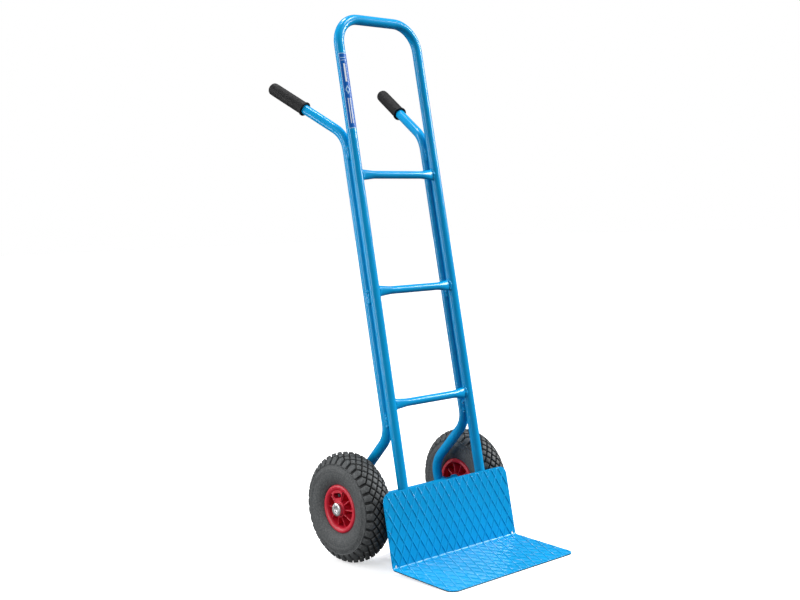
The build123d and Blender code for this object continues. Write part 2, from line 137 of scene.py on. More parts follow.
# Label
LABEL_LOW = 1038 * MM
LABEL_HIGH = 1223 * MM
LABEL_ARC = math.radians(131)
LABEL_GAP = 0.02 * MM
LABEL_T = 0.3 * MM  # with the gap
LABEL_BARS = (  # from and to round the label, then from and to up it, as shares of its size
    (0.24, 0.32, 0.07, 0.40),
    (0.42, 0.49, 0.07, 0.40),
    (0.30, 0.42, 0.62, 0.86),
)
LABEL_STRIPES = (0.12, 0.6, 0.89, 0.96)
LABEL_DIAMOND = (0.38, 0.51, 0.22, 0.06)  # its middle round and up the label, then its half sizes

# Welds
TACK_ALONG = (342 * MM, 635 * MM, 983 * MM)
TACK_OFFSET = 7.2 * MM
TACK_LENGTH = 32 * MM
TACK_R = 4.8 * MM
RUNG_ALONG = (376.5 * MM, 645.5 * MM, 927.0 * MM)
RUNG_BEAD_HALF_HEIGHT = 12.2 * MM
RUNG_BEAD_HALF_DEPTH = 6.2 * MM
RUNG_BEAD_R = 2.6 * MM
PLATE_BEAD_ALONG = (55 * MM, 140 * MM)
PLATE_BEAD_R = 3 * MM
BEAD_LIFT = 1.6 * MM  # from the surface that a straight bead lies against to its middle
AXLE_BEAD_ANGLE = math.radians(48)
AXLE_BEAD_LENGTH = 14 * MM
AXLE_BEAD_R = 3 * MM
TAIL_BEAD_R = 2.2 * MM
TACK_RIPPLE = 0.3  # ripples and lumps are shares of a bead's radius
RUNG_RIPPLE = 0.35
EVEN_RIPPLE = 0.16
TAIL_RIPPLE = 0.2
RIPPLE_PITCH = 2.6 * MM
LUMP_LENGTH = 5 * MM
LUMP_SHARE = 0.45
BEAD_SHARP = math.radians(80)

# Wheels
TYRE_MID_R = 87.2 * MM
TYRE_POWER = 2.17
TYRE_LOW_R = 57.4 * MM
TREAD_PITCHES = 34
TREAD_ROWS = 6
TREAD_ROW = 8.7 * MM
GROOVE = 4.2 * MM
GROOVE_DEPTH = 4 * MM
LUG_FLARE = 0.66  # of a pitch, how much a shoulder lug fills at its outer end
SHOULDER_TO = 47 * MM  # distance over the tyre from the middle of its tread
SIDE_RINGS = (  # the same distance and the height of each raised ring
    (48.9 * MM, 1.4 * MM),
    (58.5 * MM, 0.6 * MM),
    (61 * MM, 0.9 * MM),
    (63.5 * MM, 0.6 * MM),
)
RING_HALF_W = 0.9 * MM
PAD_RING = 55.5 * MM
SIDEWALL_SINK = 1.4 * MM
SPOKES = 10
SIDEWALL_T = 4.5 * MM
TREAD_T = 8 * MM
CAVITY_LOW_R = 60 * MM
BEAD_HEEL_X = 28.4 * MM
BEAD_TOE_X = 21 * MM
BEAD_R = 51.1 * MM
BARREL_R = 43 * MM
INNER_BARREL_R = 47 * MM
FLANGE_R = 57 * MM
RIM_HALF_W = 31.6 * MM
WEB_T = 3 * MM
RIB_T = 3 * MM
RIB_HUB_X = 29 * MM
RIB_RIM_X = 25 * MM
OUTER_LIP_R = 8 * MM
INNER_LIP_R = 1.5 * MM
HUB_R = 19.5 * MM
HUB_HALF = 31 * MM
HUB_BORE_R = 12.5 * MM
BEARING_R = 14 * MM
BEARING_LENGTH = 15 * MM
BAY_X = 30 * MM  # outer face of the valve's panel
BAY_T = 2.5 * MM
SLOT_HALF_LENGTH = 14 * MM
SLOT_HALF_WIDTH = 5.5 * MM
BAY_HALF_ANGLE = math.radians(30)
BAY_ANGLE = math.radians(78)
VALVE_R = 31.5 * MM

# Hub caps
CAP_BORE_R = 10.05 * MM
CAP_EDGE_R = 2.4 * MM
DIMPLE_MOUTH_R = 6.6 * MM
DIMPLE_R = 5.6 * MM
DIMPLE_DEPTH = 3 * MM
CAP_HOLLOW_DEPTH = 4.2 * MM  # from the outer face to the hollow behind it

# Lights: the room's strength rises with the height of the direction looked in
ROOM_LOW = 0.14
ROOM_HIGH = 0.24
ROOM_LOW_AT = -0.3
ROOM_HIGH_AT = 0.6
KEY_STRENGTH = 2.1
KEY_ANGLE = math.radians(14)
KEY_FROM = (1.3, -1.5, 2.5)
KEY_AT = (0, 0, 0.2)
BOXES_AT = (0, 0, 0.6)
SOFT_BOXES = (  # name, place, watts, width and height
    ("left_box", (-1.9, 1.8, 1.2), 42, (0.6, 2.6)),
    ("right_box", (2.6, -1.5, 2.2), 95, (0.7, 1.2)),
    ("top_box", (0.0, 0.6, 3.2), 30, (0.6, 0.6)),
    ("fill_box", (-3.3, 0.0, 1.3), 50, (0.6, 2.2)),
)
FLOOR_HALF = 40

# Camera
CAMERA_PLACE = (-1.938, -2.0964, 0.7976)
CAMERA_YAW = math.radians(42.04)
CAMERA_PITCH = math.radians(-1.884)
CAMERA_ROLL = math.radians(-1.877)
CAMERA_SENSOR = 36
CAMERA_LENS = 52.857
CAMERA_SHIFT = (0.0013, -0.0488)

AXLE_LOW, AXLE_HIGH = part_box("axle")
AXLE_MIDDLE = (AXLE_LOW + AXLE_HIGH) / 2
FOLD_TO_AXLE = 164.5 * MM
FOLD = Vector((0, AXLE_MIDDLE.y - FOLD_TO_AXLE, PLATE_DEPTH * math.sin(TOE_DROP)))


def frame_point(x, along, back=0.0):
    """A point given in the leaning frame's own directions."""
    return Vector((x, FOLD.y + LEG_OFFSET_Y, 0)) + UP * along + BACK * back


def handle_direction(side):
    """The way a handle points, from its elbow to its grip."""
    sideways = RIGHT * (side * math.sin(HANDLE_SPLAY)) + BACK * math.cos(HANDLE_SPLAY)
    return UP * math.cos(HANDLE_ANGLE) + sideways * math.sin(HANDLE_ANGLE)


# Mesh helpers


def finish_mesh(name, bm, materials, sharp=math.radians(38)):
    """Turns a bmesh into an object, smooth except at its sharp edges."""
    bmesh.ops.recalc_face_normals(bm, faces=bm.faces)
    mesh = bpy.data.meshes.new(name)
    bm.to_mesh(mesh)
    bm.free()
    mesh.shade_smooth()
    mesh.set_sharp_from_angle(angle=sharp)
    for mat in materials:
        mesh.materials.append(mat)
    obj = bpy.data.objects.new(name, mesh)
    bpy.context.scene.collection.objects.link(obj)
    return obj


def place(obj, body, slot, *nodes):
    """Makes a piece ride on a body and stand for CAD nodes."""
    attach(obj, body)
    if nodes:
        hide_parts(*nodes)
    return obj


def bridge_rings(bm, rings, closed=False):
    """Makes and returns the faces between successive rings of vertices, each a closed loop."""
    faces = []
    pairs = list(zip(rings, rings[1:]))
    if closed:
        pairs.append((rings[-1], rings[0]))
    for lower, upper in pairs:
        count = len(lower)
        for i in range(count):
            j = (i + 1) % count
            faces.append(bm.faces.new((lower[i], lower[j], upper[j], upper[i])))
    return faces


def cap_ring(bm, ring, middle):
    """Closes a ring with a fan of triangles round a middle point."""
    tip = bm.verts.new(middle)
    for i in range(len(ring)):
        bm.faces.new((ring[i], ring[(i + 1) % len(ring)], tip))


def round_corners(points, steps=5):
    """A 2-D outline, given as (x, y, radius) corners, with each corner rounded."""
    outline = []
    count = len(points)
    for i, (x, y, radius) in enumerate(points):
        here = Vector((x, y))
        before = Vector(points[i - 1][:2]) - here
        after = Vector(points[(i + 1) % count][:2]) - here
        if radius == 0:
            outline.append(here)
            continue
        half = before.angle(after) / 2
        reach = radius / math.tan(half)
        inwards = (before.normalized() + after.normalized()).normalized()
        centre = here + inwards * (radius / math.sin(half))
        first = here + before.normalized() * reach - centre
        last = here + after.normalized() * reach - centre
        turn = first.angle_signed(last)
        for k in range(steps + 1):
            outline.append(centre + Matrix.Rotation(-turn * k / steps, 2) @ first)
    return outline


def lathe(bm, outline, origin, axis, steps, radius_at=None):
    """Spins a closed outline of (distance along the axis, radius) about the axis."""
    side = axis.orthogonal().normalized()
    across = axis.cross(side)
    rings = []
    for k in range(steps):
        angle = math.tau * k / steps
        spoke = side * math.cos(angle) + across * math.sin(angle)
        ring = []
        for distance, radius in outline:
            if radius_at:
                radius = radius_at(distance, radius, angle)
            ring.append(bm.verts.new(origin + axis * distance + spoke * radius))
        rings.append(ring)
    bridge_rings(bm, rings, closed=True)


def sweep_bead(bm, path, radius, ripple, rng, closed=False):
    """A weld bead along a path, with ripples and with longer, uneven lumps."""
    sides = 10
    rings = []
    count = len(path)
    travelled = 0.0
    for i, point in enumerate(path):
        before = path[i - 1] if closed or i else path[i]
        after = path[(i + 1) % count] if closed or i < count - 1 else path[i]
        direction = (after - before).normalized()
        side = direction.orthogonal().normalized()
        across = direction.cross(side)
        drops = ripple * abs(math.sin(math.pi * travelled / RIPPLE_PITCH))
        lumps = LUMP_SHARE * noise.noise(Vector((travelled / LUMP_LENGTH, path[0].x * 40, path[0].z * 10)))
        swell = 1 + drops + lumps + rng.uniform(-0.05, 0.05)
        if not closed:
            end = min(i, count - 1 - i)
            swell *= min(1.0, 0.45 + 0.2 * end)
        ring = []
        for k in range(sides):
            angle = math.tau * k / sides
            spoke = side * math.cos(angle) + across * math.sin(angle)
            ring.append(bm.verts.new(point + spoke * radius * swell))
        rings.append(ring)
        travelled += (after - point).length
    if closed:
        align_rings(rings)
        bridge_rings(bm, rings, closed=True)
    else:
        bridge_rings(bm, rings)
        cap_ring(bm, rings[0], path[0])
        cap_ring(bm, rings[-1], path[-1])


def align_rings(rings):
    """Turns each ring so that its first vertex is the nearest to the first of the ring before."""
    for before, ring in zip(rings, rings[1:]):
        nearest = min(range(len(ring)), key=lambda k: (ring[k].co - before[0].co).length)
        ring[:] = ring[nearest:] + ring[:nearest]


# Materials


def new_material(name, color, roughness, metallic=0.0):
    """A principled material with plain values, and the pieces of its node tree to link to them."""
    mat = bpy.data.materials.new(name)
    mat.use_nodes = True
    nodes = mat.node_tree.nodes
    shader = nodes["Principled BSDF"]
    shader.inputs["Base Color"].default_value = (*color, 1)
    shader.inputs["Roughness"].default_value = roughness
    shader.inputs["Metallic"].default_value = metallic
    return mat, nodes, mat.node_tree.links, shader


def noise_node(nodes, links, scale, detail=4.0):
    """A noise texture in the object's own space."""
    where = nodes.new("ShaderNodeTexCoord")
    texture = nodes.new("ShaderNodeTexNoise")
    texture.inputs["Scale"].default_value = scale
    texture.inputs["Detail"].default_value = detail
    links.new(where.outputs["Object"], texture.inputs["Vector"])
    return texture


def vary_color(nodes, links, shader, source, stops):
    """Colours the surface by a ramp with the given (position, colour) stops."""
    ramp = nodes.new("ShaderNodeValToRGB")
    elements = ramp.color_ramp.elements
    elements[0].position, elements[0].color = stops[0][0], (*stops[0][1], 1)
    elements[1].position, elements[1].color = stops[-1][0], (*stops[-1][1], 1)
    for position, color in stops[1:-1]:
        element = elements.new(position)
        element.color = (*color, 1)
    links.new(source, ramp.inputs["Fac"])
    links.new(ramp.outputs["Color"], shader.inputs["Base Color"])


def vary_roughness(nodes, links, shader, source, low, high):
    """Spreads the roughness between two values."""
    spread = nodes.new("ShaderNodeMapRange")
    spread.inputs["To Min"].default_value = low
    spread.inputs["To Max"].default_value = high
    links.new(source, spread.inputs["Value"])
    links.new(spread.outputs["Result"], shader.inputs["Roughness"])


def add_bump(nodes, links, shader, source, strength, distance):
    """Raises the surface a little where the source is high."""
    bump = nodes.new("ShaderNodeBump")
    bump.inputs["Strength"].default_value = strength
    bump.inputs["Distance"].default_value = distance
    links.new(source, bump.inputs["Height"])
    links.new(bump.outputs["Normal"], shader.inputs["Normal"])


BLUE = (0.0, 0.32, 0.67)


def blue_paint():
    """Semi-gloss powder coat: an orange-peel surface with faint scuffs."""
    mat, nodes, links, shader = new_material("blue_paint", BLUE, 0.22)
    shader.inputs["Specular IOR Level"].default_value = 0.3
    patches = noise_node(nodes, links, 9, 5)
    vary_color(
        nodes, links, shader, patches.outputs["Fac"],
        [(0.3, (0.0, 0.298, 0.63)), (0.55, BLUE), (0.75, (0.0, 0.34, 0.71))],
    )
    vary_roughness(nodes, links, shader, patches.outputs["Fac"], 0.15, 0.26)
    peel = noise_node(nodes, links, 900, 2)
    add_bump(nodes, links, shader, peel.outputs["Fac"], 0.07, 0.0003)
    return mat


def ridge_glint_paint():
    """Blue paint on the toe's ridges, made pale in spots as painted glints."""
    mat, nodes, links, shader = new_material("ridge_glint_paint", (0.05, 0.4, 0.74), 0.25)
    spots = noise_node(nodes, links, 110, 3)
    vary_color(
        nodes, links, shader, spots.outputs["Fac"],
        [(0.48, BLUE), (0.56, (0.07, 0.39, 0.72)), (0.68, (0.36, 0.6, 0.82))],
    )
    vary_roughness(nodes, links, shader, spots.outputs["Fac"], 0.2, 0.4)
    add_bump(nodes, links, shader, spots.outputs["Fac"], 0.1, 0.0003)
    return mat


def zinc_steel():
    """Bright zinc plate with a fine mottled grain."""
    mat, nodes, links, shader = new_material("zinc_steel", (0.78, 0.79, 0.80), 0.3, 1.0)
    grain = noise_node(nodes, links, 260, 6)
    vary_color(
        nodes, links, shader, grain.outputs["Fac"],
        [(0.3, (0.74, 0.75, 0.76)), (0.7, (0.92, 0.93, 0.94))],
    )
    vary_roughness(nodes, links, shader, grain.outputs["Fac"], 0.22, 0.42)
    add_bump(nodes, links, shader, grain.outputs["Fac"], 0.08, 0.0003)
    return mat


def painted_edge_shadow():
    """Dark brown paint on the toe's sheared edge: a painted contact shadow, uneven in tone."""
    mat, nodes, links, shader = new_material("painted_edge_shadow", (0.03, 0.022, 0.018), 0.7)
    shader.inputs["Specular IOR Level"].default_value = 0.2
    edge_shade_noise = noise_node(nodes, links, 120, 5)
    vary_color(
        nodes, links, shader, edge_shade_noise.outputs["Fac"],
        [(0.35, (0.012, 0.009, 0.007)), (0.7, (0.04, 0.03, 0.024))],
    )
    vary_roughness(nodes, links, shader, edge_shade_noise.outputs["Fac"], 0.45, 0.7)
    add_bump(nodes, links, shader, edge_shade_noise.outputs["Fac"], 0.3, 0.0004)
    return mat


def tyre_rubber(name, dark, middle, light):
    """Dry grey-black rubber, dusty in patches, with a fine moulded grain."""
    mat, nodes, links, shader = new_material(name, middle, 0.72)
    shader.inputs["Specular IOR Level"].default_value = 0.45
    dust = noise_node(nodes, links, 260, 6)
    vary_color(
        nodes, links, shader, dust.outputs["Fac"],
        [(0.32, dark), (0.52, middle), (0.7, light)],
    )
    vary_roughness(nodes, links, shader, dust.outputs["Fac"], 0.5, 0.75)
    grain = noise_node(nodes, links, 500, 4)
    add_bump(nodes, links, shader, grain.outputs["Fac"], 0.5, 0.0006)
    return mat


def butyl_rubber():
    """Smooth black rubber, for the inner tubes."""
    mat, nodes, links, shader = new_material("butyl_rubber", (0.012, 0.012, 0.012), 0.5)
    grain = noise_node(nodes, links, 300, 4)
    vary_roughness(nodes, links, shader, grain.outputs["Fac"], 0.4, 0.65)
    add_bump(nodes, links, shader, grain.outputs["Fac"], 0.15, 0.0003)
    return mat


def grip_rubber():
    """Matt black rubber, a little uneven in tone."""
    mat, nodes, links, shader = new_material("grip_rubber", (0.005, 0.005, 0.006), 0.5)
    shader.inputs["Specular IOR Level"].default_value = 0.25
    grain = noise_node(nodes, links, 500, 5)
    vary_color(
        nodes, links, shader, grain.outputs["Fac"],
        [(0.35, (0.003, 0.003, 0.004)), (0.7, (0.009, 0.009, 0.01))],
    )
    vary_roughness(nodes, links, shader, grain.outputs["Fac"], 0.5, 0.75)
    add_bump(nodes, links, shader, grain.outputs["Fac"], 0.25, 0.0003)
    return mat


def red_plastic():
    """Injection-moulded plastic with flow marks and a soft sheen."""
    mat, nodes, links, shader = new_material("red_plastic", (0.6, 0.012, 0.035), 0.38)
    flow = noise_node(nodes, links, 35, 5)
    vary_color(
        nodes, links, shader, flow.outputs["Fac"],
        [(0.3, (0.52, 0.008, 0.028)), (0.7, (0.66, 0.018, 0.045))],
    )
    vary_roughness(nodes, links, shader, flow.outputs["Fac"], 0.3, 0.5)
    grain = noise_node(nodes, links, 800, 2)
    add_bump(nodes, links, shader, grain.outputs["Fac"], 0.12, 0.0003)
    return mat


def black_nylon():
    """Smooth black plastic, for the bearings."""
    mat, nodes, links, shader = new_material("black_nylon", (0.012, 0.012, 0.013), 0.45)
    grain = noise_node(nodes, links, 400, 4)
    vary_roughness(nodes, links, shader, grain.outputs["Fac"], 0.35, 0.6)
    add_bump(nodes, links, shader, grain.outputs["Fac"], 0.15, 0.0003)
    return mat


def label_ink(name, low, high):
    """Printed film, with the slight unevenness of the print."""
    mat, nodes, links, shader = new_material(name, high, 0.35)
    shader.inputs["Specular IOR Level"].default_value = 0.3
    print_noise = noise_node(nodes, links, 420, 3)
    vary_color(nodes, links, shader, print_noise.outputs["Fac"], [(0.3, low), (0.7, high)])
    vary_roughness(nodes, links, shader, print_noise.outputs["Fac"], 0.28, 0.45)
    add_bump(nodes, links, shader, print_noise.outputs["Fac"], 0.05, 0.0002)
    return mat


def floor_paper():
    """White paper, slightly lit from within as on a light table, so that shadows stay faint."""
    mat, nodes, links, shader = new_material("floor_paper", (0.93, 0.93, 0.93), 0.9)
    shader.inputs["Specular IOR Level"].default_value = 0.1
    grain = noise_node(nodes, links, 40, 3)
    vary_color(
        nodes, links, shader, grain.outputs["Fac"],
        [(0.0, (0.92, 0.92, 0.92)), (1.0, (0.94, 0.94, 0.94))],
    )
    shader.inputs["Emission Color"].default_value = (1, 1, 1, 1)
    shader.inputs["Emission Strength"].default_value = 0.57
    return mat


PAINT = blue_paint()
# Pale blue for painted glints on the crests of the ridges in front of the fold
RIDGE_GLINT = ridge_glint_paint()
ZINC = zinc_steel()
TYRE = tyre_rubber(
    "tyre_rubber", (0.05, 0.054, 0.056), (0.078, 0.084, 0.087), (0.12, 0.127, 0.13)
)
# Darker rubber between the tread blocks: painted shade in the grooves
GROOVE_SHADE = tyre_rubber(
    "groove_shade_rubber", (0.012, 0.013, 0.014), (0.02, 0.021, 0.022), (0.032, 0.034, 0.035)
)
# Dark brown for the painted shadow along the toe's rim
EDGE_SHADOW = painted_edge_shadow()
BUTYL = butyl_rubber()
GRIP = grip_rubber()
RED = red_plastic()
NYLON = black_nylon()
FILM = label_ink("label_film", (0.0, 0.095, 0.42), (0.0, 0.13, 0.52))
PALE_INK = label_ink("label_pale_ink", (0.34, 0.56, 0.78), (0.44, 0.66, 0.86))
WHITE_INK = label_ink("label_white_ink", (0.72, 0.78, 0.84), (0.86, 0.90, 0.93))


def paint_cad_nodes():
    """Gives each CAD node that still shows its material."""
    finishes = {
        "blue_paint": PAINT,
        "zinc_steel": ZINC,
        "tyre_rubber": TYRE,
        "butyl_rubber": BUTYL,
        "grip_rubber": GRIP,
        "red_plastic": RED,
        "black_nylon": NYLON,
        "label_film": FILM,
    }
    for entry in frame["record"]["subparts"]:
        node = frame["nodes"][entry["node"]]
        node.data.materials.clear()
        node.data.materials.append(finishes[entry["material_slot"]])


# Toe plate


class FoldedSheet:
    """The load side of the folded plate: s runs from its front edge, over the fold, to its top."""

    def __init__(self):
        self.toe = Vector((0, math.cos(TOE_DROP), math.sin(TOE_DROP)))
        self.toe_out = Vector((0, -math.sin(TOE_DROP), math.cos(TOE_DROP)))
        self.back_out = -BACK
        turn = math.pi / 2 - LEAN - TOE_DROP
        reach = FOLD_R * math.tan(turn / 2)
        inner = FOLD + UP * (PLATE_T / math.cos(LEAN + TOE_DROP))
        self.fold_from = inner - self.toe * reach
        self.fold_to = inner + UP * reach
        front = FOLD - self.toe * PLATE_DEPTH + self.toe_out * PLATE_T
        self.start = -(self.fold_from - front).dot(self.toe)
        self.arc = FOLD_R * turn
        self.end = self.arc + (FOLD + UP * PLATE_HEIGHT - self.fold_to).dot(UP)
        self.centre = self.fold_from + self.toe_out * FOLD_R

    def point(self, x, s, height):
        """The point at x across and s along, and that height off the load side."""
        if s < 0:
            where = self.fold_from + self.toe * s + self.toe_out * height
        elif s > self.arc:
            where = self.fold_to + UP * (s - self.arc) + self.back_out * height
        else:
            angle = s / FOLD_R
            spoke = self.toe * math.sin(angle) - self.toe_out * math.cos(angle)
            where = self.centre + spoke * (FOLD_R - height)
        return where + RIGHT * x

    def half_width(self, s):
        """Half the plate's width at s, less near its rounded corners."""
        near = min(s - self.start, self.end - s)
        if near >= PLATE_CORNER_R:
            return PLATE_HALF_W
        inside = PLATE_CORNER_R - max(near, 0.0)
        return PLATE_HALF_W - PLATE_CORNER_R + math.sqrt(max(PLATE_CORNER_R ** 2 - inside ** 2, 0.0))

    def rows(self):
        """Places along s that follow the rounded corners and the fold."""
        steps = 10
        corner = [PLATE_CORNER_R * (1 - math.cos(math.pi / 2 * k / steps)) for k in range(steps + 1)]
        fold = [self.arc * k / steps for k in range(steps + 1)]
        return [self.start + c for c in corner] + fold + [self.end - c for c in reversed(corner)]


def sheet_body(sheet):
    """The plain folded sheet, less the ridges' height. Its rim in front of the fold is painted dark as a
    painted shadow.
    """
    bm = bmesh.new()
    rings = []
    for s in sheet.rows():
        half = sheet.half_width(s)
        corners = [(-half, -RIDGE_HEIGHT), (half, -RIDGE_HEIGHT), (half, -PLATE_T), (-half, -PLATE_T)]
        rings.append([bm.verts.new(sheet.point(x, s, height)) for x, height in corners])
    bridge_rings(bm, rings)
    bm.faces.new(rings[0])
    bm.faces.new(rings[-1][::-1])
    bmesh.ops.recalc_face_normals(bm, faces=bm.faces)
    rim = [e for e in bm.edges if len(e.link_faces) == 2 and e.calc_face_angle() > math.radians(60)]
    bmesh.ops.bevel(bm, geom=rim, offset=RIM_BEVEL, segments=2, affect="EDGES", clamp_overlap=True)
    # The rim's faces in front of the fold take the dark painted shadow
    for face in bm.faces:
        in_front = face.calc_center_median().y < sheet.fold_from.y
        if in_front and abs(face.normal.dot(sheet.toe_out)) < 0.95:
            face.material_index = 1
    return bm


def ridge_spans(sheet):
    """Each ridge of the diamond lattice, as a start, a slope and the stretch of s that it covers."""
    slope = DIAMOND_WIDTH / DIAMOND_LENGTH
    middle_x, middle_up = DIAMOND_MIDDLE
    middle_s = sheet.arc - (sheet.fold_to - FOLD).dot(UP) + middle_up
    margin = RIDGE_MARGIN
    for direction in (-1, 1):
        for k in range(-40, 40):
            start_x = middle_x + DIAMOND_WIDTH * (k + 0.5)
            inside = []
            s = sheet.start + margin
            while s < sheet.end - margin:
                x = start_x + direction * slope * (s - middle_s)
                if abs(x) < sheet.half_width(s) - margin:
                    inside.append(s)
                s += 1 * MM
            if len(inside) > 4:
                yield start_x - direction * slope * middle_s, direction * slope, inside[0], inside[-1]


def add_ridge(bm, sheet, offset, slope, low, high):
    """One raised ridge, low at its ends, with painted glints on its crest where it lies in front of the
    fold.
    """
    half = RIDGE_WIDTH / 2
    start, stop = low + RIDGE_TAPER, high - RIDGE_TAPER
    fold = [sheet.arc * k / 8 for k in range(9)]
    places = [low, start] + [s for s in fold if start < s < stop] + [stop, high]
    rings = []
    for s in places:
        sunk = RIDGE_HEIGHT * (0.9 if s in (low, high) else 0.0)
        ring = []
        for across, height in RIDGE_SECTION:
            x = offset + slope * s + across * half * math.sqrt(1 + slope * slope)
            ring.append(bm.verts.new(sheet.point(x, s, height * RIDGE_HEIGHT - sunk)))
        rings.append(ring)
    for i, face in enumerate(bridge_rings(bm, rings)):
        stretch, strip = divmod(i, len(RIDGE_SECTION))
        # Crest faces in front of the fold take the painted glints
        if strip in GLINT_STRIPS and places[stretch] < 0:
            face.material_index = 2
    bm.faces.new(rings[0])
    bm.faces.new(rings[-1][::-1])


def relief_cutter():
    """Two rods through the upright part, one for the hole near each end of the fold."""
    bm = bmesh.new()
    turn = BACK.to_track_quat("Z", "Y").to_matrix().to_4x4()
    for side in (-1, 1):
        hole = FOLD + UP * RELIEF_HEIGHT + RIGHT * side * (PLATE_HALF_W - RELIEF_INSET)
        bmesh.ops.create_cone(
            bm,
            cap_ends=True,
            segments=24,
            radius1=RELIEF_R,
            radius2=RELIEF_R,
            depth=30 * MM,
            matrix=Matrix.Translation(hole) @ turn,
        )
    return finish_mesh("relief_cutter", bm, [PAINT])


def cut_away(piece, cutter):
    """Takes the cutter's shape out of a piece, then removes the cutter."""
    cut = piece.modifiers.new("relief", "BOOLEAN")
    cut.operation = "DIFFERENCE"
    cut.solver = "EXACT"
    cut.object = cutter
    depsgraph = bpy.context.evaluated_depsgraph_get()
    mesh = bpy.data.meshes.new_from_object(piece.evaluated_get(depsgraph))
    piece.modifiers.clear()
    piece.data = mesh
    bpy.data.objects.remove(cutter)


def toe_plate():
    """The folded sheet with its relief holes, and the lattice of ridges on its load side."""
    sheet = FoldedSheet()
    plain = finish_mesh("toe_plate_sheet", sheet_body(sheet), [PAINT, EDGE_SHADOW])
    cut_away(plain, relief_cutter())
    bm = bmesh.new()
    bm.from_mesh(plain.data)
    bpy.data.objects.remove(plain)
    for span in ridge_spans(sheet):
        add_ridge(bm, sheet, *span)
    plate = finish_mesh("toe_plate_sheet", bm, [PAINT, EDGE_SHADOW, RIDGE_GLINT])
    place(plate, "frame", "blue_paint", "toe_plate")


# Grips


def grip_outline():
    """The sleeve's section, with points along its straight part for the ribs to bend."""
    outline = round_corners(
        [
            (0, GRIP_BORE_R, 0),
            (0, GRIP_FLANGE_R, 1 * MM),
            (4 * MM, GRIP_FLANGE_R, 1.6 * MM),
            (5.5 * MM, GRIP_R, 1 * MM),
            (GRIP_LENGTH, GRIP_R, 9 * MM),
            (GRIP_LENGTH, 0.01 * MM, 0),
            (GRIP_BORE_END, 0.01 * MM, 0),
            (GRIP_BORE_END, GRIP_BORE_R, 0),
        ]
    )
    steps = int(GRIP_LENGTH / (4 * MM))
    reach = GRIP_RIBS_TO - GRIP_RIBS_FROM
    straight = [Vector((GRIP_RIBS_FROM + reach * k / steps, GRIP_R)) for k in range(steps + 1)]
    cut = next(i for i, p in enumerate(outline) if p.x > GRIP_RIBS_TO)
    return outline[:cut] + straight + outline[cut:]


def ribbed(distance, radius, angle):
    """The radius of the sleeve, raised by its fine ribs."""
    if GRIP_RIBS_FROM <= distance <= GRIP_RIBS_TO and radius > GRIP_BORE_R:
        return radius + GRIP_RIB_HEIGHT * (0.5 + 0.5 * math.cos(GRIP_RIBS * angle))
    return radius


def grip(side):
    """A ribbed rubber sleeve with a flange at its inner end and a rounded, closed outer end."""
    direction = handle_direction(side)
    start = frame_point(side * LEG_X, HANDLE_ELBOW, REAR_BACK) + direction * GRIP_START
    bm = bmesh.new()
    lathe(bm, grip_outline(), start, direction, GRIP_RIBS * 6, ribbed)
    name = "right" if side > 0 else "left"
    piece = finish_mesh(name + "_grip_sleeve", bm, [GRIP])
    place(piece, "frame", "grip_rubber", name + "_grip")


# Label


def label_ink_at(u, v):
    """Which ink a spot of the label takes: 0 film, 1 pale, 2 white. u runs round it and v up it."""
    if abs(u - 0.5) > 0.455 or abs(v - 0.5) > 0.49:
        return 1
    for left, right, low, high in LABEL_BARS:
        if left < u < right and low < v < high:
            return 2
    middle_u, middle_v, half_width, half_height = LABEL_DIAMOND
    diamond = abs(u - middle_u) / half_width + abs(v - middle_v) / half_height
    if 0.55 < diamond < 1.0:
        return 1
    left, right, low, high = LABEL_STRIPES
    if left < u < right and low < v < high and (v * 100) % 3 < 1.2:
        return 1
    return 0


def leg_label():
    """A printed film wrapped round the front of the left leg, with plain generic blocks of ink."""
    half_arc = LABEL_ARC / 2
    columns, rows = 28, 120
    inner, outer = HOOP_R + LABEL_GAP, HOOP_R + LABEL_T
    bm = bmesh.new()
    layers = []
    for radius in (outer, inner):
        grid = []
        for i in range(rows + 1):
            along = LABEL_LOW + (LABEL_HIGH - LABEL_LOW) * i / rows
            line = []
            for j in range(columns + 1):
                angle = half_arc * (2 * j / columns - 1)
                offset = RIGHT * (radius * math.sin(angle)) - BACK * (radius * math.cos(angle))
                line.append(bm.verts.new(frame_point(-LEG_X, along) + offset))
            grid.append(line)
        layers.append(grid)
    top, under = layers
    for i in range(rows):
        for j in range(columns):
            face = bm.faces.new((top[i][j], top[i][j + 1], top[i + 1][j + 1], top[i + 1][j]))
            face.material_index = label_ink_at((j + 0.5) / columns, (i + 0.5) / rows)
            bm.faces.new((under[i][j], under[i + 1][j], under[i + 1][j + 1], under[i][j + 1]))
    for i in range(rows):
        for j in (0, columns):
            bm.faces.new((top[i][j], top[i + 1][j], under[i + 1][j], under[i][j]))
    for j in range(columns):
        for i in (0, rows):
            bm.faces.new((top[i][j], top[i][j + 1], under[i][j + 1], under[i][j]))
    film = finish_mesh("leg_label_film", bm, [FILM, PALE_INK, WHITE_INK])
    place(film, "frame", "label_film", "leg_label")


# Welds


def leg_surface(side, start, direction, radius=HOOP_R):
    """Where a line from a point inside a leg leaves the leg's surface."""
    axis_point = frame_point(side * LEG_X, 0)
    offset = start - axis_point
    offset -= UP * offset.dot(UP)
    flat = direction - UP * direction.dot(UP)
    a = flat.dot(flat)
    b = 2 * offset.dot(flat)
    c = offset.dot(offset) - radius * radius
    reach = (-b + math.sqrt(b * b - 4 * a * c)) / (2 * a)
    return start + direction * reach


def straight_path(middle, direction, length, step=0.65 * MM):
    """Evenly spaced points on a straight line, given its middle."""
    count = int(length / step)
    return [middle + direction * (length * (i / count - 0.5)) for i in range(count + 1)]


def finish_beads(bm, word):
    """Turns beads into the painted piece that stands for their CAD node."""
    beads = finish_mesh(word + "_weld_beads", bm, [PAINT], BEAD_SHARP)
    place(beads, "frame", "blue_paint", word + "_welds")


